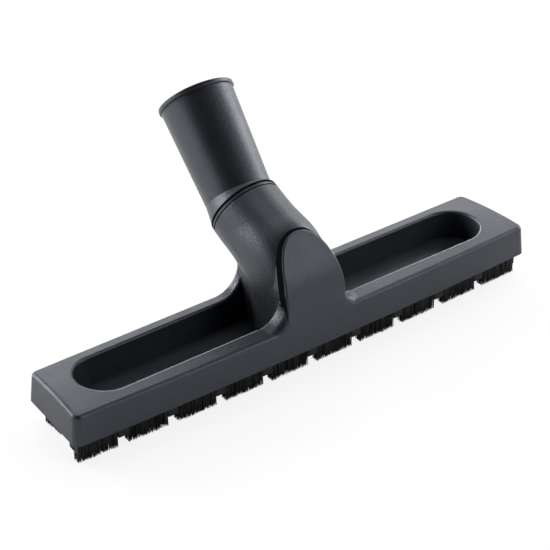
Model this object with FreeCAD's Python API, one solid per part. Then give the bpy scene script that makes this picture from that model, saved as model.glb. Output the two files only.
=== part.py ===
"""Floor brush head with a swivelling tube socket, for a vacuum cleaner with a 35 mm tube.

A moulded bar carries two long open trays and a hollow neck that leans back. A brush plate is
screwed under the bar and holds blocks of bristles. A bent socket turns in the neck's mouth.
Lengths are millimetres. X runs along the bar, Y to the back and Z up; the model is drawn with
the middle of the bar at X = Y = 0 and the floor at Z = 0, and is moved to the middle of its
own footprint at the end.
"""
import FreeCAD, Part
import math
import os

V = FreeCAD.Vector
UP = V(0, 0, 1)
ALONG = V(1, 0, 0)
BACK = V(0, 1, 0)

# Bar of the housing
bar_length = 300.0
bar_depth = 50.4
front_bow = 2.45          # how far the front wall bulges at the middle
end_splay = 4.0           # how much nearer the middle each end's back corner is
bar_underside = 14.0
bar_crest = 32.0          # top of the crowned upper face
crest_offset = -3.0       # Y of the crest
crown_radius = 220.0
side_draft = 1.2          # lean of the outer walls over the bar's height
corner_radius = 4.0
edge_radius = 2.4
rim_band = 3.0            # how near the rim an edge lies to be rounded with it
shell_wall = 2.2

# Trays in the bar
tray_half_width = 16.5
tray_end_margin = 18.5    # from a tray's outer end to the bar's end
tray_inner = 17.0         # X of its inner end, under the neck's flank
tray_lean = 1.9           # how much narrower each side is at the floor
tray_floor_thick = 1.8
tray_wall = 1.8
tray_edge_radius = 1.5

# Neck
neck_lean = 64.1          # of the mouth's axis, from upright
neck_radius = 20.6
mouth_y = 34.7            # middle of the neck's end face
mouth_z = 67.6
neck_wall = 2.2
neck_mouth_bore = 18.6
section_points = 40
front_web_radius = 7.0
back_web_radius = 14.0
front_web_x = 18.6
back_web_x = 16.5
web_top = 52.0            # the webs and the bar's block end here, inside the neck
# Sections of the neck, from the bar's underside up to where it is round: Y and Z of the middle,
# lean, half width, reach ahead, reach behind and fullness of the front half (2 is an ellipse)
neck_table = [
    (-1.0, bar_underside, 0.0, 22.0, 12.6, 12.6, 2.4),
    (-1.5, bar_crest, 2.0, 19.2, 23.6, 22.6, 3.2),
    (2.0, 45.5, 24.0, 20.2, 24.6, 22.0, 3.3),
    (10.0, 54.5, 46.0, 20.6, 24.6, 21.5, 2.8),
    (18.86, 60.0, 58.0, 20.6, 22.0, 20.3, 2.2),
    (27.5, 64.1, 64.1, 20.6, 20.6, 20.6, 2.0),
]

# Raised face on the front of the neck
face_half_width = 19.0
face_top = 75.0
face_top_y = -8.3
face_slope = 54.5         # from level
face_bend_radius = 36.0
face_proud = 0.12         # how far it stands ahead of the bar's front wall
face_reach = 80.0         # size of the blocks that the raised face is cut from
face_edge_radius = 0.9
face_rear_y = 4.0         # the raised face runs back to here, inside the neck

# Seam between the housing and the neck's rear cover
seam_gap = 0.2
seam_knee_y = 14.5
seam_drop_y = 12.6
seam_drop_z = 45.0
seam_foot_y = 20.5
seam_foot_z = 33.0
seam_knee_drop = 4.0

# Swivel bush in the neck's mouth; it carries the tube socket's spigot
bush_bore = 17.0
bush_length = 11.0
bush_flange = 1.5
bush_flange_radius = 20.2
bush_clearance = 0.1
groove = 0.45             # width of the shadow lines on both sides of the flange
groove_depth = 1.0
running_gap = 0.2
spigot_clearance = 0.06
spigot_wall = 2.2
snap_height = 0.7
snap_length = 2.0

# Tube socket
socket_bend = 15.7        # between the swivel axis and the socket's own axis
socket_turn = 17.2        # how far the socket is turned, as drawn
bend_rise = 5.0           # from the neck's end face to the bend
socket_length = 64.3
tube_radius = 17.5
tube_clearance = 0.1
bore_depth = 45.0
socket_base_radius = 18.6
socket_top_radius = 20.8
collar_length = 5.0
collar_radius = 20.4
lip_radius = 21.7
lip_height = 2.6
lip_rounding = 0.6
lead_in = 1.0

# Ribs and screw bosses inside the bar
rib_thick = 1.4
rib_pitch = 32.0
rib_foot = 4.0
boss_radius = 4.0
boss_end_margin = 12.7
boss_front_y = -9.0
boss_rear_y = 1.0

# Brush plate under the bar, with a rail for the blocks of bristles all round
plate_inset = 5.0
plate_end_inset = 7.0
front_rail_end_inset = 3.7
plate_thick = 2.6
rail_height = 8.5
rail_width = 8.4

# Screws that hold the brush plate
screw_core = 1.25
screw_shank = 1.45
screw_grip = 7.0
screw_clearance = 0.2
screw_head_radius = 2.6
screw_head_height = 1.5
screw_slot = 0.9

# Bristle blocks, each a row of tufts that run together
front_blocks = 10
rear_blocks = 9
block_row_margin = 1.1    # from the front row's outermost half gap to the bar's end
block_gap = 5.98
block_depth = 4.6
front_block_inset = 4.8
rear_block_inset = 5.6
tufts_per_block = 7
tuft_bulge = 0.4
block_recess = 5.6        # how deep a block sits in its rail
block_clearance = 0.1
side_block_inset = 9.5
side_block_y = 12.2
side_block_width = 15.0
side_tufts = 4

# Worked out from the sizes above
bar_half = bar_length / 2.0
tray_end = bar_half - tray_end_margin
boss_x = bar_half - boss_end_margin
block_pitch = (bar_length - 2.0 * block_row_margin) / front_blocks
block_width = block_pitch - block_gap
bow_radius = (bar_half ** 2 + front_bow ** 2) / (2.0 * front_bow)
front_y = -bar_depth / 2.0
back_y = bar_depth / 2.0
tray_floor = bar_underside + tray_floor_thick
lean = math.radians(neck_lean)
neck_axis = V(0, math.sin(lean), math.cos(lean))
neck_up = V(0, -math.cos(lean), math.sin(lean))
mouth = V(0, mouth_y, mouth_z)
ceiling = bar_crest - shell_wall - 1.8
bush_top = groove + bush_flange
swivel_foot = bush_top + running_gap
spigot_radius = bush_bore - spigot_clearance
rail_foot = bar_underside - rail_height


def bow_at(x, inset=0.0):
    """Y of the bowed front edge at this X, moved inwards."""
    return front_y - front_bow + bow_radius - math.sqrt((bow_radius - inset) ** 2 - x ** 2)


def plan_wire(inset, end_inset, z):
    """Outline of the bar seen from above, moved inwards, with its bowed front edge."""
    x_front = bar_half - end_inset
    x_back = bar_half - end_splay - end_inset
    y_front = bow_at(x_front, inset)
    y_back = back_y - inset
    corners = [V(x_back, y_back, z), V(-x_back, y_back, z), V(-x_front, y_front, z), V(x_front, y_front, z)]
    bow = Part.Arc(corners[2], V(0, bow_at(0.0, inset), z), corners[3]).toShape()
    return Part.Wire([
        Part.makeLine(corners[0], corners[1]),
        Part.makeLine(corners[1], corners[2]),
        bow,
        Part.makeLine(corners[3], corners[0]),
    ])


def upright_edges(solid, shortest):
    """Edges of a solid that rise by at least this much."""
    return [edge for edge in solid.Edges if edge.BoundBox.ZLength > shortest]


def bar_block(inset, low, high):
    """Tapered block of the bar's outline with rounded corners."""
    def inset_at(z):
        return inset + side_draft * (z - bar_underside) / (bar_crest - bar_underside)
    wires = [plan_wire(inset_at(z), inset_at(z), z) for z in (low, high)]
    block = Part.makeLoft(wires, True, True)
    return block.makeFillet(max(corner_radius - inset, 1.0), upright_edges(block, (high - low) * 0.9))


def flared_profile(web_x, web_radius, top):
    """Face in the XZ plane: the bar's level top, rising beside the neck in two round webs."""
    reach = bar_length
    foot = web_x + web_radius
    rise = bar_crest + web_radius
    mid = web_radius * (1.0 - math.sqrt(0.5))
    outline = [(-reach, 0), (-reach, bar_crest), (-foot, bar_crest), (-web_x, rise), (-web_x, top)]
    outline += [(-x, z) for x, z in reversed(outline)]
    edges = []
    for (x0, z0), (x1, z1) in zip(outline, outline[1:] + outline[:1]):
        start = V(x0, crest_offset, z0)
        end = V(x1, crest_offset, z1)
        if abs(x1 - x0) == web_radius and abs(z1 - z0) == web_radius:
            middle = V(math.copysign(web_x + mid, x0), crest_offset, bar_crest + mid)
            edges.append(Part.Arc(start, middle, end).toShape())
        else:
            edges.append(Part.makeLine(start, end))
    return Part.Face(Part.Wire(edges))


def crowned_top():
    """Everything below the bar's crowned upper face and the webs beside the neck."""
    centre = V(0, crest_offset, bar_crest - crown_radius)
    spread = math.degrees(math.asin((bar_depth / 2.0 + 12.0) / crown_radius))
    front_profile = flared_profile(front_web_x, front_web_radius, bar_crest + front_web_radius + 0.5)
    front = front_profile.revolve(centre, ALONG, spread)
    back = flared_profile(back_web_x, back_web_radius, web_top + 8.0).revolve(centre, ALONG, -spread)
    return front.fuse(back).removeSplitter()


def stadium(half_width, inner, end_x, z):
    """Slot outline from an inner end inside the neck to a round outer end at end_x."""
    centre = end_x - half_width
    return Part.Wire([
        Part.makeLine(V(inner, -half_width, z), V(centre, -half_width, z)),
        Part.Arc(V(centre, -half_width, z), V(end_x, 0, z), V(centre, half_width, z)).toShape(),
        Part.makeLine(V(centre, half_width, z), V(inner, half_width, z)),
        Part.makeLine(V(inner, half_width, z), V(inner, -half_width, z)),
    ])


def tray(grow, low, high):
    """The right-hand tray as a solid, grown outwards; its sides lean in towards the floor."""
    def wire(z):
        spread = grow - tray_lean * (bar_crest - z) / (bar_crest - tray_floor)
        return stadium(tray_half_width + spread, tray_inner - grow, tray_end + spread, z)
    return Part.makeLoft([wire(low), wire(high)], True, True)


def both_sides(solid):
    """A solid and its mirror image across the middle of the bar."""
    return [solid, solid.mirror(V(0, 0, 0), ALONG)]


def neck_stations():
    """Middle, lean, half width, reach ahead and behind, and fullness of each neck section."""
    stations = [(V(0, row[0], row[1]),) + row[2:] for row in neck_table]
    stations.append((mouth, neck_lean, neck_radius, neck_radius, neck_radius, 2.0))
    return stations


def section_wire(centre, tilt, half_width, ahead, behind, fullness, shrink):
    """Smooth closed section: fuller than an ellipse at the front and elliptic at the rear."""
    angle = math.radians(tilt)
    forward = V(0, -math.cos(angle), math.sin(angle))
    points = []
    for i in range(section_points):
        turn = 2.0 * math.pi * i / section_points
        across, out = math.cos(turn), math.sin(turn)
        reach = (ahead if out > 0.0 else behind) - shrink
        power = fullness if out > 0.0 else 2.0
        size = (abs(across) / (half_width - shrink)) ** power + (abs(out) / reach) ** power
        radius = size ** (-1.0 / power)
        points.append(centre + ALONG * (across * radius) + forward * (out * radius))
    curve = Part.BSplineCurve()
    curve.interpolate(Points=points, PeriodicFlag=True)
    return Part.Wire(curve.toShape())


def neck_body(shrink, low_end, mouth_end):
    """The neck's outer form, or its duct when shrunk by the wall, run on at both ends."""
    stations = neck_stations()
    wires = [section_wire(*station, shrink) for station in stations]
    body = Part.makeLoft(wires, True, False)
    pieces = [body]
    if low_end > 0.0:
        pieces.append(Part.Face(wires[0]).extrude(UP * -low_end))
    if mouth_end > 0.0:
        pieces.append(Part.Face(wires[-1]).extrude(neck_axis * mouth_end))
    if len(pieces) == 1:
        return body
    return body.fuse(pieces[1:])


def raised_face():
    """The raised face: an arch seen from the front, cut by the bent front profile."""
    slope = math.radians(face_slope)
    wall_lean = math.atan2(side_draft, bar_crest - bar_underside)
    foot = bar_crest
    wall_y = front_y - front_bow - face_proud + (foot - bar_underside) * math.tan(wall_lean)
    wall = V(0, math.sin(wall_lean), math.cos(wall_lean))
    along = V(0, math.cos(slope), math.sin(slope))
    gap_y = face_top_y - wall_y
    gap_z = face_top - foot
    rise = (gap_z * along.y - gap_y * along.z) / (wall.z * along.y - wall.y * along.z)
    meet = V(0, wall_y, foot) + wall * rise
    tangent = face_bend_radius * math.tan((math.pi / 2.0 - slope - wall_lean) / 2.0)
    bend_low = meet - wall * tangent
    bend_high = meet + along * tangent
    inward = V(0, wall.z, -wall.y)
    bend_centre = bend_low + inward * face_bend_radius
    halfway = ((bend_low - bend_centre) + (bend_high - bend_centre)).normalize()
    top = meet + along * face_reach
    profile = Part.Wire([
        Part.makeLine(V(0, face_rear_y, foot), V(0, wall_y, foot)),
        Part.makeLine(V(0, wall_y, foot), bend_low),
        Part.Arc(bend_low, bend_centre + halfway * face_bend_radius, bend_high).toShape(),
        Part.makeLine(bend_high, top),
        Part.makeLine(top, V(0, face_rear_y, top.z)),
        Part.makeLine(V(0, face_rear_y, top.z), V(0, face_rear_y, foot)),
    ])
    slab = Part.Face(profile).extrude(ALONG * face_reach)
    slab.translate(ALONG * (-face_reach / 2.0))
    arch = Part.Face(arch_wire()).extrude(BACK * face_reach)
    face = slab.common(arch)
    front_edges = [edge for edge in face.Edges if edge.BoundBox.YMax < face_rear_y - 1.0]
    return face.makeFillet(face_edge_radius, [edge for edge in front_edges if edge.BoundBox.ZLength > 1.0])


def arch_wire():
    """Outline of the raised face seen from the front, in a plane ahead of the bar."""
    y = front_y - front_bow - 10.0
    shoulder = bar_crest + 12.0
    rise = face_top - shoulder
    count = 7
    right = []
    for i in range(count):
        turn = math.pi / 2.0 * i / (count - 1)
        across = math.cos(turn) ** 0.86 if i < count - 1 else 0.0
        right.append(V(face_half_width * across, y, shoulder + rise * math.sin(turn)))
    left = [V(-p.x, y, p.z) for p in reversed(right[:-1])]
    curve = Part.BSplineCurve()
    curve.interpolate(Points=right + left, InitialTangent=UP, FinalTangent=UP * -1.0)
    base = bar_underside
    foot = [V(face_half_width, y, base), V(-face_half_width, y, base)]
    return Part.Wire([
        Part.makeLine(foot[1], foot[0]),
        Part.makeLine(foot[0], right[0]),
        curve.toShape(),
        Part.makeLine(left[-1], foot[1]),
    ])


def outer_bar():
    """The bar with its crowned top, webs and trays, and its edges rounded."""
    bar = bar_block(0.0, bar_underside, web_top).common(crowned_top())
    bar = bar.makeFillet(edge_radius, [edge for edge in bar.Edges if on_outer_rim(edge)])
    bar = bar.cut(both_sides(tray(0.0, tray_floor, web_top + 1.0)))
    return bar.makeFillet(tray_edge_radius, [edge for edge in bar.Edges if on_tray_rim(edge)])


def middle_of(edge):
    """Point half-way along an edge."""
    return edge.valueAt((edge.FirstParameter + edge.LastParameter) / 2.0)


def on_outer_rim(edge):
    """Whether an edge runs round the outside of the bar's upper face and its webs."""
    box = edge.BoundBox
    middle = middle_of(edge)
    outside = abs(middle.y) > bar_depth / 2.0 - rim_band or abs(middle.x) > bar_half - end_splay - rim_band
    return outside and box.ZMin > bar_underside + rim_band and box.ZMin < web_top - rim_band


def on_tray_rim(edge):
    """Whether an edge runs round the upper edge of a tray, outside the neck."""
    middle = middle_of(edge)
    beside = abs(middle.x) > front_web_x + 0.1 and abs(middle.x) < tray_end + 1.0
    return beside and middle.z > bar_crest - rim_band and abs(middle.y) < tray_half_width + 0.6


def along_neck(distance):
    """Point on the swivel axis, measured outwards from the neck's end face."""
    return mouth + neck_axis * distance


def turned(pairs, origin, axis, side):
    """Solid of revolution about an axis, from (radius, distance along the axis) pairs."""
    corners = [origin + axis * distance + side * radius for radius, distance in pairs]
    return Part.Face(Part.makePolygon(corners + corners[:1])).revolve(origin, axis, 360)


def rounded_rings(solid, radius, ring):
    """Round every circular edge of one radius on a solid."""
    rings = [e for e in solid.Edges if hasattr(e.Curve, "Radius") and abs(e.Curve.Radius - ring) < 0.01]
    return solid.makeFillet(radius, rings)


def boss_places():
    """Centres of the four screw bosses, seen from above."""
    return [V(side * boss_x, y, 0) for side in (-1, 1) for y in (boss_front_y, boss_rear_y)]


def post(radius, place, low, high):
    """Upright cylinder at a place on the plan."""
    return Part.makeCylinder(radius, high - low, V(place.x, place.y, low), UP)


def inner_space():
    """The hollow under the bar's top, less the tray walls, ribs and screw bosses."""
    space = bar_block(shell_wall, bar_underside - 1.0, ceiling)
    keep = both_sides(tray(tray_wall, bar_underside, ceiling + 1.0))
    keep += [post(boss_radius, place, bar_underside, ceiling + 1.0) for place in boss_places()]
    ribs = int((tray_end - tray_inner) / rib_pitch)
    for i in range(1, ribs + 1):
        for x in (-tray_inner - i * rib_pitch, tray_inner + i * rib_pitch):
            rib = Part.makeBox(rib_thick, bar_depth, ceiling - bar_underside)
            rib.translate(V(x - rib_thick / 2.0, -bar_depth / 2.0, bar_underside + rib_foot))
            keep.append(rib)
    return space.cut(keep)


def seam_region(grow):
    """Everything behind and below the seam, as a block; grown by the seam's gap for the housing."""
    def on_axis(y):
        return V(0, y, mouth_z - (mouth_y - y) / math.tan(lean))
    knee = on_axis(seam_knee_y)
    corners = [
        on_axis(bar_length),
        knee,
        V(0, seam_drop_y, knee.z - seam_knee_drop),
        V(0, seam_drop_y, seam_drop_z),
        V(0, seam_foot_y, seam_foot_z + seam_knee_drop),
        V(0, seam_foot_y, seam_foot_z),
        V(0, bar_length, seam_foot_z),
    ]
    face = Part.Face(Part.makePolygon(corners + corners[:1]))
    if grow > 0.0:
        face = face.makeOffset2D(grow, join=2)
    region = face.extrude(ALONG * bar_length)
    region.translate(ALONG * -bar_half)
    return region


def whole_casing():
    """Housing and rear cover as one solid, before the seam is cut."""
    casing = outer_bar().cut(inner_space())
    casing = casing.fuse([neck_body(0.0, 0.0, 0.0), raised_face()])
    casing = casing.cut(neck_body(neck_wall, 2.0, 2.0))
    seat = Part.makeCylinder(neck_mouth_bore, bush_length + 3.0, along_neck(-bush_length - 1.0), neck_axis)
    casing = casing.cut(seat)
    cores = [post(screw_core, place, bar_underside - 1.0, bar_underside + screw_grip + 2.0) for place in boss_places()]
    return casing.cut(cores)


def swivel_bush():
    """Flanged bush pressed into the neck's mouth; its flange shows as a thin ring."""
    outer = neck_mouth_bore - bush_clearance
    pairs = [
        (bush_bore, -bush_length),
        (outer, -bush_length),
        (outer, 0.0),
        (bush_flange_radius - groove_depth, 0.0),
        (bush_flange_radius - groove_depth, groove),
        (bush_flange_radius, groove),
        (bush_flange_radius, bush_top),
        (bush_bore, bush_top),
    ]
    return turned(pairs, mouth, neck_axis, ALONG)


def socket_frame():
    """The bend's middle, the socket's own axis and a direction square to it."""
    turn = math.radians(socket_turn)
    bend = math.radians(socket_bend)
    side = neck_up * math.cos(turn) + ALONG * math.sin(turn)
    axis = neck_axis * math.cos(bend) + side * math.sin(bend)
    return along_neck(bend_rise), axis, axis.cross(ALONG).normalize()


def circle_wire(radius, centre, axis):
    return Part.Wire(Part.Edge(Part.Circle(centre, axis, radius)))


def tube_socket():
    """Bent cuff: a spigot that turns in the bush, a flared collar and the socket for the tube."""
    bend, axis, side = socket_frame()
    top = socket_length
    bore = tube_radius + tube_clearance
    barrel = turned([
        (0.0, collar_length),
        (socket_base_radius, collar_length),
        (socket_top_radius, top - lip_height),
        (lip_radius, top - lip_height),
        (lip_radius, top),
        (0.0, top),
    ], bend, axis, side)
    barrel = rounded_rings(barrel, lip_rounding, lip_radius)
    collar_foot = swivel_foot + groove
    collar = Part.makeLoft([
        circle_wire(collar_radius, along_neck(collar_foot), neck_axis),
        circle_wire(socket_base_radius, bend + axis * collar_length, axis),
    ], True, True)
    tail = -bush_length - running_gap
    spigot = turned([
        (0.0, tail - snap_length),
        (spigot_radius - 0.5, tail - snap_length),
        (spigot_radius + snap_height, tail - snap_length / 2.0),
        (spigot_radius + snap_height, tail),
        (spigot_radius, tail),
        (spigot_radius, swivel_foot),
        (collar_radius - groove_depth, swivel_foot),
        (collar_radius - groove_depth, collar_foot),
        (0.0, collar_foot),
    ], mouth, neck_axis, ALONG)
    body = barrel.fuse([collar, spigot])
    waist = spigot_radius - spigot_wall
    hollow = turned([
        (0.0, 0.0),
        (waist, 0.0),
        (waist, top - bore_depth - 4.0),
        (bore, top - bore_depth),
        (bore, top - lead_in),
        (bore + lead_in, top),
        (bore + lead_in, top + 1.0),
        (0.0, top + 1.0),
    ], bend, axis, side)
    way_in = Part.makeCylinder(waist, bend_rise - tail + snap_length + 1.0, along_neck(tail - snap_length - 1.0), neck_axis)
    return body.cut([hollow, way_in, Part.makeSphere(waist, bend)])


def rail_frame():
    """The brush plate's web and the rails round its edge, before the sockets are cut."""
    def prism(inset, end_inset, low, high):
        return Part.Face(plan_wire(inset, end_inset, low)).extrude(UP * (high - low))
    plate = prism(plate_inset, plate_end_inset, rail_foot, bar_underside)
    strip = prism(plate_inset, front_rail_end_inset, rail_foot, bar_underside)
    ahead = Part.makeBox(bar_length, bar_depth, bar_crest)
    ahead.translate(V(-bar_half, front_y + plate_inset + rail_width - bar_depth, 0))
    inner = prism(plate_inset + rail_width, plate_end_inset + rail_width, rail_foot - 1.0, bar_underside - plate_thick)
    return plate.fuse(strip.common(ahead)).cut(inner)


def row_block(width, depth, tufts, low, high):
    """Bristle block lying along X: a row of tufts that run together, drawn at the origin."""
    step = width / tufts
    half = depth / 2.0
    edges = []
    for side in (-1.0, 1.0):
        for i in range(tufts):
            x0 = side * (-width / 2.0 + i * step)
            x1 = side * (-width / 2.0 + (i + 1) * step)
            y = side * (half - tuft_bulge)
            middle = V((x0 + x1) / 2.0, side * half, low)
            edges.append(Part.Arc(V(x0, y, low), middle, V(x1, y, low)).toShape())
        x = side * width / 2.0
        y = side * (half - tuft_bulge)
        edges.append(Part.makeLine(V(x, y, low), V(x, -y, low)))
    return Part.Face(Part.Wire(Part.__sortEdges__(edges))).extrude(UP * (high - low))


def block_places():
    """Name, centre, turn, width and number of tufts of every bristle block."""
    places = []
    front_inset = front_block_inset + block_depth / 2.0
    for i in range(front_blocks):
        x = (i - (front_blocks - 1) / 2.0) * block_pitch
        slope = math.degrees(math.asin(x / bow_radius))
        middle = V(x, bow_at(x, front_inset), 0)
        places.append((f"front_bristles_{i + 1}", middle, slope, block_width, tufts_per_block))
    rear_line = back_y - rear_block_inset - block_depth / 2.0
    for i in range(rear_blocks):
        x = (i - (rear_blocks - 1) / 2.0) * block_pitch
        places.append((f"rear_bristles_{i + 1}", V(x, rear_line, 0), 0.0, block_width, tufts_per_block))
    side_x = bar_half - side_block_inset - block_depth / 2.0
    for name, x in (("left", -side_x), ("right", side_x)):
        places.append((f"{name}_side_bristles", V(x, side_block_y, 0), 90.0, side_block_width, side_tufts))
    return places


def set_in_place(solid, place):
    """Turn a solid drawn at the origin and move it to a block's place."""
    solid.rotate(V(0, 0, 0), UP, place[2])
    solid.translate(place[1])
    return solid


def bristle_block(place):
    """One block of bristles, from the floor up into its socket."""
    return set_in_place(row_block(place[3], block_depth, place[4], 0.0, rail_foot + block_recess), place)


def socket_for(place, low, high):
    """Plain socket that a block of bristles sits in."""
    length = place[3] + 2.0 * block_clearance
    depth = block_depth + 2.0 * block_clearance
    return set_in_place(Part.makeBox(length, depth, high - low, V(-length / 2.0, -depth / 2.0, low)), place)


def brush_plate():
    """Plate under the bar: suction mouth, screw holes and a socket for every bristle block."""
    plate = rail_frame()
    top = rail_foot + block_recess
    cuts = [socket_for(place, rail_foot - 1.0, top) for place in block_places()]
    cuts.append(neck_body(neck_wall, rail_height + 1.0, 0.0))
    for place in boss_places():
        cuts.append(post(screw_shank + screw_clearance, place, rail_foot - 1.0, bar_underside + 1.0))
        head_seat = bar_underside - plate_thick
        cuts.append(post(screw_head_radius + screw_clearance, place, rail_foot - 1.0, head_seat))
    return plate.cut(cuts)


def plate_screws():
    """Four pan-head screws, one solid each, up through the plate into the bosses."""
    screws = []
    seat = bar_underside - plate_thick
    for place in boss_places():
        head = post(screw_head_radius, place, seat - screw_head_height, seat)
        shank = post(screw_shank, place, seat, bar_underside)
        thread = post(screw_core, place, bar_underside, bar_underside + screw_grip)
        slots = []
        for turn in (0.0, 90.0):
            slot = Part.makeBox(screw_head_radius * 1.2, screw_slot, screw_head_height * 0.6)
            slot.translate(V(-screw_head_radius * 0.6, -screw_slot / 2.0, seat - screw_head_height))
            slot.rotate(V(0, 0, 0), UP, turn)
            slot.translate(place)
            slots.append(slot)
        screws.append(head.fuse([shank, thread]).cut(slots))
    return Part.makeCompound(screws)


def build():
    """Every node of the brush head, by name."""
    casing = whole_casing()
    nodes = {
        "housing": casing.cut(seam_region(seam_gap)),
        "neck_rear_cover": casing.common(seam_region(0.0)),
        "swivel_bush": swivel_bush(),
        "tube_socket": tube_socket(),
        "brush_plate": brush_plate(),
        "plate_screws": plate_screws(),
    }
    for place in block_places():
        nodes[place[0]] = bristle_block(place)
    return nodes


def main():
    os.makedirs("parts", exist_ok=True)
    nodes = build()
    box = Part.makeCompound(list(nodes.values())).optimalBoundingBox()
    shift = V(-(box.XMin + box.XMax) / 2.0, -(box.YMin + box.YMax) / 2.0, -box.ZMin)
    for name, shape in nodes.items():
        shape.translate(shift)
        shape.exportStep(f"parts/{name}.step")
        print(name, shape.isValid(), len(shape.Solids), round(shape.Volume, 1), len(shape.Faces))
    print("shift", tuple(round(v, 4) for v in shift))
    print("mouth", tuple(round(v, 3) for v in mouth + shift), "axis", tuple(round(v, 6) for v in neck_axis))
    bend, axis, side = socket_frame()
    tip = bend + axis * socket_length + shift
    print("socket mouth", tuple(round(v, 3) for v in tip), "axis", tuple(round(v, 6) for v in axis))


main()
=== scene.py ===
"""Looks of the vacuum floor brush head: plastics, bristles, floor, light and camera."""
import math
import random

import bmesh
import bpy
from mathutils import Matrix, Vector


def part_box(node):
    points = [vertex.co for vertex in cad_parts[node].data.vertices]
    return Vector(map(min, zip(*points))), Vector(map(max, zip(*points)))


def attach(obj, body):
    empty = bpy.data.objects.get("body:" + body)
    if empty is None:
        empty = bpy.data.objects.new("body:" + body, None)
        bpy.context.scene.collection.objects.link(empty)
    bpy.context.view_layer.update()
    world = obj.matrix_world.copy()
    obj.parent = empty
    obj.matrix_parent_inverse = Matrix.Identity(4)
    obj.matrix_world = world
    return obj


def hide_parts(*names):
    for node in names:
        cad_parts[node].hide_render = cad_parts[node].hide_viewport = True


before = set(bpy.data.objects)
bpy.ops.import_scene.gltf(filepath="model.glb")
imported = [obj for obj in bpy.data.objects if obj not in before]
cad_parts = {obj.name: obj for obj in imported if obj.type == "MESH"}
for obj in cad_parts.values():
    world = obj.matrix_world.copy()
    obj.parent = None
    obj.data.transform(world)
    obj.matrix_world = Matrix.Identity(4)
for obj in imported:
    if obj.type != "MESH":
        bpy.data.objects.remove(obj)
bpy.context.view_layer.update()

# Sizes are in millimetres, in the drawing's own places: the bar's middle is at X = Y = 0 and the
# floor at Z = 0. placed() takes a point into the frame. Names that end in _M hold metres.
MM = 0.001
SHIFT_M = Vector((0.0, -0.0370007, 0.0))

# The bar: half length, bow of its front, crest height, the crest's Y, radius of the crown
BAR_HALF, FRONT_BOW, CREST, CREST_Y, CROWN = 150.0, 2.45, 32.0, -3.0, 220.0
# Its front wall's Y at the crest's height, and how far that leans back per mm of rise
WALL_Y, WALL_LEAN = -26.4, 0.0657
# The trays: half width, outer end and rounding of the rim
TRAY_HALF, TRAY_END, RIM_ROUND = 16.5, 131.5, 1.5
# The raised face: half width, shoulder, top and rounding, and its front as (Z, Y)
FACE_HALF, FACE_SHOULDER, FACE_TOP, FACE_ROUND = 19.0, 44.0, 75.0, 0.9
FACE_PROFILE = (
    (30.0, -26.7), (37.0, -26.24), (43.2, -25.6), (49.0, -24.0),
    (54.6, -21.7), (60.0, -19.0), (75.0, -8.3),
)
# The swivel: middle of the neck's end face, and the axis
MOUTH = Vector((0.0, 34.699, 67.6))
NECK_AXIS = Vector((0.0, 0.899558, 0.436802))

scene = bpy.context.scene


def placed(point):
    """A point of the drawing, in mm, at its place in the frame, in metres."""
    return point * MM + SHIFT_M


def linear(hex_colour):
    """sRGB hex to a linear RGBA colour."""
    parts = [int(hex_colour[i:i + 2], 16) / 255.0 for i in (1, 3, 5)]
    return [c / 12.92 if c <= 0.04045 else ((c + 0.055) / 1.055) ** 2.4 for c in parts] + [1.0]


# Materials


def add(tree, kind, inputs=None, **settings):
    """One node; settings are attributes, and inputs go by name: an output links, a value is set."""
    node = tree.nodes.new(kind)
    for name, value in settings.items():
        setattr(node, name, value)
    for name, value in (inputs or {}).items():
        if isinstance(value, bpy.types.NodeSocket):
            tree.links.new(value, node.inputs[name])
        else:
            node.inputs[name].default_value = value
    return node


def new_material(name):
    """An empty node material with its output node."""
    mat = bpy.data.materials.new(name)
    mat.use_nodes = True
    mat.node_tree.nodes.clear()
    return mat, mat.node_tree, mat.node_tree.nodes.new("ShaderNodeOutputMaterial")


# Cool tint and strength of the moulded plastics' sheen, and the swing of their roughness
SHEEN, SHEEN_LEVEL, ROUGH_SWING = linear("#e6eeff"), 0.63, 0.03
GRAIN_SCALE, CLOUD_SCALE = 1050.0, 60.0


def moulded_plastic(name, colour, rough, depth_m):
    """Satin moulded plastic with a spark-eroded grain."""
    mat, tree, out = new_material(name)
    place = add(tree, "ShaderNodeTexCoord")
    fine = add(tree, "ShaderNodeTexNoise", {
        "Vector": place.outputs["Object"], "Scale": GRAIN_SCALE, "Detail": 3.0,
    })
    broad = add(tree, "ShaderNodeTexNoise", {
        "Vector": place.outputs["Object"], "Scale": CLOUD_SCALE, "Detail": 2.0,
    })
    bump = add(tree, "ShaderNodeBump", {
        "Height": fine.outputs["Fac"], "Strength": 1.0, "Distance": depth_m,
    })
    shine = add(tree, "ShaderNodeMapRange", {
        "Value": broad.outputs["Fac"], "From Min": 0.3, "From Max": 0.7,
        "To Min": rough - ROUGH_SWING, "To Max": rough + ROUGH_SWING,
    })
    shader = add(tree, "ShaderNodeBsdfPrincipled", {
        "Base Color": linear(colour),
        "Roughness": shine.outputs["Result"],
        "Normal": bump.outputs["Normal"],
        "Specular Tint": SHEEN,
        "Specular IOR Level": SHEEN_LEVEL,
    })
    tree.links.new(shader.outputs[0], out.inputs["Surface"])
    return mat


def plain(name, colour, rough, metallic=0.0, specular=0.5):
    """A plain finish."""
    mat, tree, out = new_material(name)
    shader = add(tree, "ShaderNodeBsdfPrincipled", {
        "Base Color": linear(colour),
        "Roughness": rough,
        "Metallic": metallic,
        "Specular IOR Level": specular,
    })
    tree.links.new(shader.outputs[0], out.inputs["Surface"])
    return mat


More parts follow.
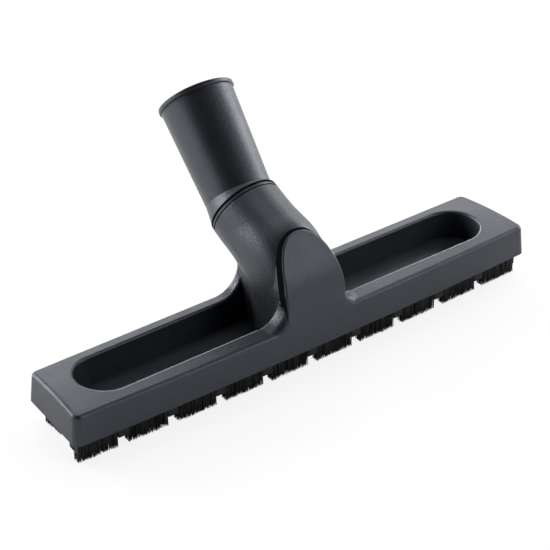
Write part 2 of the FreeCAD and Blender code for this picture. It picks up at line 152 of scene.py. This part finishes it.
CASING = moulded_plastic("charcoal_spark_eroded_plastic", "#171a1d", 0.44, 0.0002)
SOCKET = moulded_plastic("charcoal_satin_socket_plastic", "#131518", 0.42, 0.00014)
PLATE = plain("matte_black_plate_plastic", "#08080a", 0.7)
FILAMENT = plain("black_bristle_filaments", "#09090b", 0.5)
# Painted shade: near-black matte strips laid where gaps and grooves fall into shade
PAINTED_SHADE = plain("painted_shade_black", "#0f0f11", 1.0, specular=0.0)
# Painted highlight: light, shiny colour on slim beads that stand in for the shine of edges
PAINTED_HIGHLIGHT = plain("painted_highlight_edge_plastic", "#b4bac6", 0.35, specular=0.6)
STEEL = plain("zinc_plated_screw_steel", "#b4b6b8", 0.35, 1.0)


def clothe(node, mat):
    """Give a CAD node one material."""
    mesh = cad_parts[node].data
    mesh.materials.clear()
    mesh.materials.append(mat)


for node in ("housing", "neck_rear_cover", "swivel_bush"):
    clothe(node, CASING)
clothe("tube_socket", SOCKET)
clothe("brush_plate", PLATE)
clothe("plate_screws", STEEL)


# New pieces


def new_piece(name, bm, mat):
    """Object in the scene from a built mesh, in one material."""
    mesh = bpy.data.meshes.new(name)
    bm.to_mesh(mesh)
    bm.free()
    mesh.materials.append(mat)
    piece = bpy.data.objects.new(name, mesh)
    scene.collection.objects.link(piece)
    return piece


def moulding(name, bm, mat, body):
    """Finished piece in the given material, riding on a body."""
    bmesh.ops.recalc_face_normals(bm, faces=bm.faces)
    piece = new_piece(name, bm, mat)
    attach(piece, body)


def swept(name, sections, mat, body, ring=False, smooth=False, round_ends=False):
    """Closed solid through sections with one number of corners: capped, or led round as a ring."""
    bm = bmesh.new()
    loops = [[bm.verts.new(corner) for corner in section] for section in sections]
    pairs = list(zip(loops, loops[1:]))
    if ring:
        pairs.append((loops[-1], loops[0]))
    count = len(loops[0])
    for low, high in pairs:
        for i in range(count):
            j = (i + 1) % count
            bm.faces.new((low[i], low[j], high[j], high[i])).smooth = smooth
    if not ring:
        bm.faces.new(loops[0][::-1]).smooth = round_ends
        bm.faces.new(loops[-1]).smooth = round_ends
    moulding(name, bm, mat, body)


# Neck

# Sections of the fuller front of the neck: Y and Z of the middle, lean from upright in degrees,
# half width, reach ahead and fullness (2 is an ellipse)
NECK_TABLE = (
    (-1.5, 27.0, 0.0, 18.6, 22.4, 4.2),
    (-1.2, 34.0, 6.0, 19.1, 23.8, 4.6),
    (1.4, 41.4, 22.0, 19.8, 25.6, 4.0),
    (6.6, 49.0, 41.0, 20.05, 27.0, 2.9),
    (12.0, 54.0, 52.0, 20.2, 27.2, 2.3),
    (18.6, 58.9, 59.0, 20.5, 23.8, 2.05),
    (26.4, 63.6, 63.4, 20.6, 21.4, 2.0),
    (34.6, 67.55, 64.1, 20.6, 20.61, 2.0),
)
NECK_LEVELS, NECK_STEPS, NECK_SKIN = 56, 72, 2.0


def neck_row(t):
    """Section values at a place along the neck, smoothly between the table's rows."""
    last = len(NECK_TABLE) - 1
    i = min(int(t), last - 1)
    f = t - i
    rows = [NECK_TABLE[max(0, min(last, i + k))] for k in (-1, 0, 1, 2)]
    values = []
    for a, b, c, d in zip(*rows):
        bend = (2 * a - 5 * b + 4 * c - d) * f ** 2 + (3 * b - a - 3 * c + d) * f ** 3
        values.append(0.5 * (2 * b + (c - a) * f + bend))
    return values


def neck_arc(t, shrink):
    """Points round the front half of one section, from its right side to its left."""
    y, z, tilt, half, ahead, power = neck_row(t)
    lean = math.radians(tilt)
    forward = Vector((0.0, -math.cos(lean), math.sin(lean)))
    points = []
    for i in range(NECK_STEPS + 1):
        turn = math.pi * i / NECK_STEPS
        across, out = math.cos(turn), abs(math.sin(turn))
        size = (abs(across) / (half - shrink)) ** power + (out / (ahead - shrink)) ** power
        radius = size ** (-1.0 / power)
        points.append(placed(Vector((across * radius, y, z)) + forward * (out * radius)))
    return points


def neck_front():
    """The neck's full front between the ring and the bar: a closed shell over the CAD neck."""
    bm = bmesh.new()
    places = [(len(NECK_TABLE) - 1) * k / NECK_LEVELS for k in range(NECK_LEVELS + 1)]
    outer, inner = (
        [[bm.verts.new(point) for point in neck_arc(t, shrink)] for t in places]
        for shrink in (0.0, NECK_SKIN)
    )
    end = NECK_STEPS
    for k in range(NECK_LEVELS):
        low, high, low_in, high_in = outer[k], outer[k + 1], inner[k], inner[k + 1]
        for i in range(end):
            bm.faces.new((low[i], low[i + 1], high[i + 1], high[i]))
            bm.faces.new((low_in[i], high_in[i], high_in[i + 1], low_in[i + 1]))
        bm.faces.new((low[0], high[0], high_in[0], low_in[0]))
        bm.faces.new((low[end], low_in[end], high_in[end], high[end]))
    for i in range(end):
        bm.faces.new((outer[0][i], inner[0][i], inner[0][i + 1], outer[0][i + 1]))
        bm.faces.new((outer[-1][i], outer[-1][i + 1], inner[-1][i + 1], inner[-1][i]))
    for face in bm.faces:
        face.smooth = True
    moulding("neck_front", bm, CASING, "head")


neck_front()


# Painted shade: dark strips that stand in for shade round the raised face and in the swivel ring's
# grooves

# Painted shade round the raised face: how far behind the front it starts, its depth, how far it
# stands out of the face's side and how far it reaches in
PAINTED_SHADE_BEHIND, PAINTED_SHADE_DEPTH, PAINTED_SHADE_OUT, PAINTED_SHADE_IN = 1.0, 5.0, 0.16, 0.3
# Heights of the raised face's straight foot, and the power and steps of each half of its arch
FACE_FOOT, ARCH_POWER, ARCH_STEPS = (31.0, 35.0, 39.0), 0.86, 32
BAND_STEPS, BAND_DEPTH = 120, 0.8


def face_y(z):
    """Y of the raised face's front at a height."""
    for (z0, y0), (z1, y1) in zip(FACE_PROFILE, FACE_PROFILE[1:]):
        if z <= z1:
            return y0 + (y1 - y0) * (z - z0) / (z1 - z0)
    return FACE_PROFILE[-1][1]


def face_edge():
    """The raised face's outline from its right foot to its left, as (X, Z) and outward normal."""
    right = [(FACE_HALF, z) for z in FACE_FOOT]
    for i in range(ARCH_STEPS):
        turn = math.pi / 2.0 * i / ARCH_STEPS
        x = FACE_HALF * math.cos(turn) ** ARCH_POWER
        right.append((x, FACE_SHOULDER + (FACE_TOP - FACE_SHOULDER) * math.sin(turn)))
    line = right + [(0.0, FACE_TOP)] + [(-x, z) for x, z in reversed(right)]
    edge = []
    for i, (x, z) in enumerate(line):
        (x0, z0), (x1, z1) = line[max(0, i - 1)], line[min(len(line) - 1, i + 1)]
        along = Vector((x1 - x0, z1 - z0)).normalized()
        edge.append((x, z, along.y, -along.x))
    return edge


def face_painted_shade():
    """Dark strip of painted shade on the raised face's side, where it meets the neck."""
    sections = []
    for x, z, nx, nz in face_edge():
        front = face_y(z) + PAINTED_SHADE_BEHIND
        rear = front + PAINTED_SHADE_DEPTH
        corners = ((PAINTED_SHADE_OUT, front), (PAINTED_SHADE_OUT, rear), (-PAINTED_SHADE_IN, rear), (-PAINTED_SHADE_IN, front))
        sections.append([placed(Vector((x + nx * out, y, z + nz * out))) for out, y in corners])
    swept("raised_face_painted_shade", sections, PAINTED_SHADE, "head")


def painted_shade_ring(name, body, low, high, radius):
    """Dark band of painted shade round the swivel axis, between two distances from the neck's end
    face.
    """
    side = Vector((1.0, 0.0, 0.0))
    other = NECK_AXIS.cross(side)
    inside = radius - BAND_DEPTH
    sections = []
    for i in range(BAND_STEPS):
        turn = math.tau * i / BAND_STEPS
        out = side * math.cos(turn) + other * math.sin(turn)
        corners = ((radius, low), (radius, high), (inside, high), (inside, low))
        sections.append([placed(MOUTH + out * r + NECK_AXIS * rise) for r, rise in corners])
    swept(name, sections, PAINTED_SHADE, body, ring=True)


face_painted_shade()
painted_shade_ring("neck_ring_painted_shade", "head", -0.4, 0.3, 20.66)
painted_shade_ring("collar_ring_painted_shade", "socket", 2.2, 3.1, 20.46)


# Webs that sweep from the bar's front edge up into the raised face

# Radius of the sweep, rounding along the front, depth of the shell below that rounding, and how
# far the outer end sinks into the bar
WEB_SWEEP, WEB_ROUND, WEB_KEEL, WEB_SINK = 13.0, 4.0, 3.0, 0.14
WEB_STEPS, RIM_CORNERS, FRONT_CORNERS = 24, 6, 10
# From this Y forwards a web follows the bar's bow, and over this length the front wall's lean
WEB_FRONT_Y, WEB_BLEND = -20.0, 4.0


def web_point(side, turn, y, depth):
    """Point of a web at one turn of its sweep, at a depth under its surface."""
    fall = WEB_SWEEP + depth
    x = side * (FACE_HALF + WEB_SWEEP - fall * math.sin(turn))
    crown = CREST - (y - CREST_Y) ** 2 / (2.0 * CROWN)
    z = crown + WEB_SWEEP - (fall + WEB_SINK) * math.cos(turn)
    lean = WALL_LEAN * (CREST - z) * min(1.0, max(0.0, (WEB_FRONT_Y - y) / WEB_BLEND))
    bow = FRONT_BOW * (x / BAR_HALF) ** 2 if y < WEB_FRONT_Y else 0.0
    return placed(Vector((x, y - lean + bow, z)))


def rim_rounding(b):
    """Y and depth on a web's rounding towards the tray, 0 at the wall and a quarter turn on top."""
    return -TRAY_HALF - RIM_ROUND * (1.0 - math.cos(b)), RIM_ROUND * (1.0 - math.sin(b))


def front_rounding(b):
    """Y and depth on a web's front rounding, 0 on top and a quarter turn at the wall."""
    return WALL_Y + WEB_ROUND * (1.0 - math.sin(b)), WEB_ROUND * (1.0 - math.cos(b))


def web_section(side, turn):
    """Closed section of a web at one turn of its sweep."""
    keel = WEB_ROUND + WEB_KEEL
    quarter = math.pi / 2.0
    rim = [rim_rounding(quarter * i / RIM_CORNERS) for i in range(RIM_CORNERS + 1)]
    front = [front_rounding(quarter * i / FRONT_CORNERS) for i in range(FRONT_CORNERS + 1)]
    loop = [(-TRAY_HALF, keel)] + rim + front + [(WALL_Y, keel)]
    return [web_point(side, turn, y, depth) for y, depth in loop]


def front_web(name, side):
    """One swept web beside the raised face, as a closed shell."""
    turns = [math.pi / 2.0 * k / WEB_STEPS for k in range(WEB_STEPS + 1)]
    sections = [web_section(side, turn) for turn in turns]
    swept(name, sections, CASING, "head", smooth=True)


front_web("left_front_web", -1.0)
front_web("right_front_web", 1.0)


# Painted highlights: light beads along each tray's near rim and down the raised face's right side
# stand in for the shine of those roundings

# Direction to the viewer, front left and above, and the turns at which the trays' rims and the
# raised face's rounding go out of that sight. The painted highlight beads lie there.
VIEW = Vector((-0.512, -0.668, 0.5395))
RIM_TURN, FACE_TURN = math.radians(39.0), math.radians(52.5)
# Turns of the webs that the beads follow, in degrees: the left and right tray's from the top
# down, and the raised face's from below
RIM_CLIMB = {-1.0: range(76, 0, -8), 1.0: range(40, 0, -8)}
FACE_CLIMB = range(36, 90, 6)
# X where the trays' beads leave the webs, the steps from there to the round end and round it,
# and the heights between which the third bead follows the raised face
RIM_START, RIM_STEPS, END_STEPS, END_STEP = 33.0, 24, 17, math.radians(5.0)
FACE_LOW, FACE_HIGH = 46.0, 66.0
BEAD_RADIUS_M, BEAD_SIDES = 0.0002, 8
# Share of the radius left at a bead's ends, and how steeply it grows from there
BEAD_END, BEAD_GROWTH = 0.15, 5.0
ABOVE_PART_M = 0.06


def bead(name, path, across):
    """Slim closed bead of painted highlight along a path that never runs along `across`, thin at
    both ends.
    """
    last = len(path) - 1
    sections = []
    for i, point in enumerate(path):
        along = (path[min(i + 1, last)] - path[max(i - 1, 0)]).normalized()
        side = along.cross(across).normalized()
        other = along.cross(side)
        swell = min(1.0, BEAD_GROWTH * min(i, last - i) / last)
        r = BEAD_RADIUS_M * (BEAD_END + (1.0 - BEAD_END) * swell)
        turns = [math.tau * k / BEAD_SIDES for k in range(BEAD_SIDES)]
        sections.append([
            point + (side * math.cos(turn) + other * math.sin(turn)) * r for turn in turns
        ])
    swept(name, sections, PAINTED_HIGHLIGHT, "head", smooth=True, round_ends=True)


def web_facing(side, turn):
    """How much a web's surface faces the viewer, as a share of how much the bar's front does."""
    return (VIEW.z * math.cos(turn) + side * VIEW.x * math.sin(turn)) / -VIEW.y


def rim_path(side):
    """Points on the near rim of one tray, from the web down and round to the tray's outer end."""
    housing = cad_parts["housing"]
    inside = housing.matrix_world.inverted()
    path = []
    for turn in (math.radians(degrees) for degrees in RIM_CLIMB[side]):
        b = math.pi / 2.0 - math.atan(web_facing(side, turn))
        path.append(web_point(side, turn, *rim_rounding(b)))
    half = TRAY_HALF + RIM_ROUND * (1.0 - math.sin(RIM_TURN))
    middle = TRAY_END - TRAY_HALF
    reach = middle - RIM_START
    spots = [(RIM_START + reach * i / RIM_STEPS, -half) for i in range(RIM_STEPS)]
    for i in range(END_STEPS):
        turn = END_STEP * i
        spots.append((middle + half * math.sin(turn), -half * math.cos(turn)))
    for x, y in spots:
        above = placed(Vector((side * x, y, 0.0)))
        above.z = ABOVE_PART_M
        _, place, _, _ = housing.ray_cast(inside @ above, Vector((0.0, 0.0, -1.0)))
        path.append(housing.matrix_world @ place)
    return path


def face_path():
    """Points up the right web's front rounding and on along the raised face's right edge."""
    path = []
    for turn in (math.radians(degrees) for degrees in FACE_CLIMB):
        b = math.atan(max(0.0, -web_facing(1.0, turn)))
        path.append(web_point(1.0, turn, *front_rounding(b)))
    inward = FACE_ROUND * (1.0 - math.sin(FACE_TURN))
    behind = FACE_ROUND * (1.0 - math.cos(FACE_TURN))
    for x, z, nx, nz in face_edge():
        if x > 0.0 and FACE_LOW < z < FACE_HIGH:
            path.append(placed(Vector((x - nx * inward, face_y(z) + behind, z - nz * inward))))
    return path


bead("left_tray_painted_highlight", rim_path(-1.0), Vector((0.0, 0.0, 1.0)))
bead("right_tray_painted_highlight", rim_path(1.0), Vector((0.0, 0.0, 1.0)))
bead("raised_face_painted_highlight", face_path(), Vector((0.0, 1.0, 0.0)))


# Bristles

# Pitch of the front blocks, and where the row's middle is: between the fifth and sixth block
BLOCK_PITCH, FRONT_MIDDLE = 29.78, 5.5
BLOCK_WIDTH_M, BLOCK_HALF_DEPTH_M = 0.0238, 0.0023
ROW_TUFTS, SIDE_TUFTS, TUFT_FILAMENTS = 7, 4, 150
# A filament's sides and radius, and how it tapers: share of its length and of its radius
FILAMENT_SIDES, FILAMENT_RADIUS_M = 3, 0.00013
FILAMENT_TAPER = ((0.0, 1.0), (0.6, 0.9), (1.0, 0.6))
# Share of a tuft's room that its roots fill, along and across the block
TUFT_ALONG, TUFT_ACROSS = 0.96, 0.86
# The most that a whole tuft leans either way along the block, and that it ends above the floor
TUFT_LEAN_M, TUFT_RISE_M = 0.00035, 0.0004
# Outward splay of the end tufts, and the share of the half block at which it starts
SPLAY_M, SPLAY_START = 0.0006, 0.55
# Spread of the tips along, across and up, and how much wider than its roots a tuft's tip is
TIP_ALONG_M, TIP_ACROSS_M, TIP_UP_M, TIP_FAN = 0.00022, 0.00018, 0.00025, 1.1


def filament(bm, root, tip):
    """One bristle: a slim tapering prism from root to tip."""
    spin = random.random() * math.tau
    rings = []
    for way, share in FILAMENT_TAPER:
        centre, r = root.lerp(tip, way), FILAMENT_RADIUS_M * share
        ring = []
        for i in range(FILAMENT_SIDES):
            turn = spin + math.tau * i / FILAMENT_SIDES
            out = Vector((math.cos(turn) * r, math.sin(turn) * r, 0.0))
            ring.append(bm.verts.new(centre + out))
        rings.append(ring)
    for low, high in zip(rings, rings[1:]):
        for i in range(FILAMENT_SIDES):
            j = (i + 1) % FILAMENT_SIDES
            bm.faces.new((low[i], high[i], high[j], low[j]))
    bm.faces.new(rings[-1][::-1])


def bristles(node, tufts, turn):
    """Loose filaments in bunched tufts, in place of one block that is turned by some degrees."""
    low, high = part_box(node)
    centre = (low + high) / 2.0
    length = min(high.x - low.x, BLOCK_WIDTH_M) if abs(turn) < 45.0 else high.y - low.y
    half, depth = length / 2.0, BLOCK_HALF_DEPTH_M
    random.seed(node)
    bm = bmesh.new()
    step = length / tufts
    for i in range(tufts):
        middle = -half + (i + 0.5) * step
        lean = random.uniform(-TUFT_LEAN_M, TUFT_LEAN_M)
        rise = random.uniform(0.0, TUFT_RISE_M)
        for _ in range(TUFT_FILAMENTS):
            along = random.uniform(-0.5, 0.5)
            across = random.uniform(-1.0, 1.0)
            x0 = middle + along * step * TUFT_ALONG
            y0 = across * depth * TUFT_ACROSS
            splay = max(0.0, abs(x0) / half - SPLAY_START) * math.copysign(SPLAY_M, x0)
            x1 = x0 + lean + splay + random.gauss(0.0, TIP_ALONG_M)
            y1 = y0 * TIP_FAN + random.gauss(0.0, TIP_ACROSS_M)
            x1 = max(-half, min(half, x1))
            y1 = max(-depth, min(depth, y1))
            z1 = rise + abs(random.gauss(0.0, TIP_UP_M))
            filament(bm, Vector((x0, y0, high.z)), Vector((x1, y1, z1)))
    spin = Matrix.Rotation(math.radians(turn), 3, "Z")
    bmesh.ops.rotate(bm, cent=(0, 0, 0), matrix=spin, verts=bm.verts)
    bmesh.ops.translate(bm, vec=(centre.x, centre.y, 0.0), verts=bm.verts)
    piece = new_piece(node + "_filaments", bm, FILAMENT)
    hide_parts(node)
    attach(piece, "head")


def bow_turn(number):
    """Degrees that a block of the front row is turned by, along the bow."""
    place = (number - FRONT_MIDDLE) * BLOCK_PITCH
    return math.degrees(math.asin(place * 2.0 * FRONT_BOW / (BAR_HALF ** 2 + FRONT_BOW ** 2)))


for node in sorted(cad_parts):
    if node.startswith("front_bristles"):
        bristles(node, ROW_TUFTS, bow_turn(int(node.split("_")[-1])))
    elif node.startswith("rear_bristles"):
        bristles(node, ROW_TUFTS, 0.0)
    elif node.endswith("side_bristles"):
        bristles(node, SIDE_TUFTS, 90.0)


# Floor, light and camera

FLOOR_HALF_M, FLOOR_GLOW = 6.0, 0.85


def floor():
    """Pale seamless floor that reads white to the camera."""
    bm = bmesh.new()
    bmesh.ops.create_grid(bm, x_segments=1, y_segments=1, size=FLOOR_HALF_M)
    mat, tree, out = new_material("white_paper_floor")
    paper = add(tree, "ShaderNodeBsdfPrincipled", {
        "Base Color": linear("#ffffff"), "Roughness": 0.9,
    })
    glow = add(tree, "ShaderNodeEmission", {"Color": linear("#ffffff"), "Strength": 1.0})
    rays = add(tree, "ShaderNodeLightPath")
    share = add(tree, "ShaderNodeMath", operation="MULTIPLY")
    tree.links.new(rays.outputs["Is Camera Ray"], share.inputs[0])
    share.inputs[1].default_value = FLOOR_GLOW
    mix = add(tree, "ShaderNodeMixShader", {"Fac": share.outputs[0]})
    tree.links.new(paper.outputs[0], mix.inputs[1])
    tree.links.new(glow.outputs[0], mix.inputs[2])
    tree.links.new(mix.outputs[0], out.inputs["Surface"])
    piece = new_piece("floor", bm, mat)


floor()

# Where the lamps are aimed: 50 mm above the middle of the part's footprint, or that middle
MIDDLE_M, UNDER_M = (0.0, 0.0, 0.05), (0.0, 0.0, 0.0)


def softbox(name, place, target, size, watts):
    """Rectangular area light aimed at a target, in metres."""
    data = bpy.data.lights.new(name, "AREA")
    data.shape = "RECTANGLE"
    data.size, data.size_y = size
    data.energy = watts
    lamp = bpy.data.objects.new(name, data)
    scene.collection.objects.link(lamp)
    lamp.location = place
    aim = Vector(target) - Vector(place)
    lamp.rotation_euler = aim.to_track_quat("-Z", "Y").to_euler()


softbox("back_softbox", (1.1, 1.45, 1.0), MIDDLE_M, (2.4, 1.3), 34.0)
softbox("back_left_softbox", (-0.9, 1.5, 0.6), MIDDLE_M, (1.0, 1.0), 38.0)
softbox("left_softbox", (-1.6, 0.5, 0.5), MIDDLE_M, (0.9, 1.0), 7.0)
softbox("right_softbox", (1.6, 0.0, 0.6), MIDDLE_M, (0.8, 1.0), 19.0)
softbox("front_right_softbox", (0.85, -1.2, 0.8), MIDDLE_M, (1.0, 0.9), 11.5)
softbox("overhead_softbox", (0.1, 0.5, 2.0), UNDER_M, (1.2, 1.0), 10.5)


def studio_world():
    """White to the camera, and a dim grey room to everything else."""
    world = bpy.data.worlds.new("studio")
    scene.world = world
    world.use_nodes = True
    tree = world.node_tree
    tree.nodes.clear()
    rays = add(tree, "ShaderNodeLightPath")
    room = add(tree, "ShaderNodeBackground", {"Color": linear("#c8ccd2"), "Strength": 0.02})
    white = add(tree, "ShaderNodeBackground", {"Color": linear("#ffffff"), "Strength": 1.0})
    mix = add(tree, "ShaderNodeMixShader", {"Fac": rays.outputs["Is Camera Ray"]})
    tree.links.new(room.outputs[0], mix.inputs[1])
    tree.links.new(white.outputs[0], mix.inputs[2])
    out = add(tree, "ShaderNodeOutputWorld")
    tree.links.new(mix.outputs[0], out.inputs["Surface"])


studio_world()

# The camera: sensor and lens in mm, its angles, the spot it looks at and its distance in metres
SENSOR, LENS = 36.0, 138.5
YAW, PITCH, ROLL = math.radians(37.47), math.radians(32.65), math.radians(0.06)
LOOK_AT, DISTANCE_M = Vector((36.97, 58.48, 0.0)), 1.1957


def photo_camera():
    """Camera at the photograph's viewing angle."""
    data = bpy.data.cameras.new("camera")
    data.sensor_width = SENSOR
    data.lens = LENS
    camera = bpy.data.objects.new("camera", data)
    scene.collection.objects.link(camera)
    level = math.cos(PITCH)
    forward = Vector((math.sin(YAW) * level, math.cos(YAW) * level, -math.sin(PITCH)))
    camera.location = placed(LOOK_AT) - forward * DISTANCE_M
    level_right = Vector((math.cos(YAW), -math.sin(YAW), 0.0))
    level_up = level_right.cross(forward)
    right = level_right * math.cos(ROLL) + level_up * math.sin(ROLL)
    up = level_up * math.cos(ROLL) - level_right * math.sin(ROLL)
    camera.rotation_euler = Matrix((right, up, -forward)).transposed().to_euler()
    scene.camera = camera


photo_camera()

scene.view_settings.view_transform = "Standard"
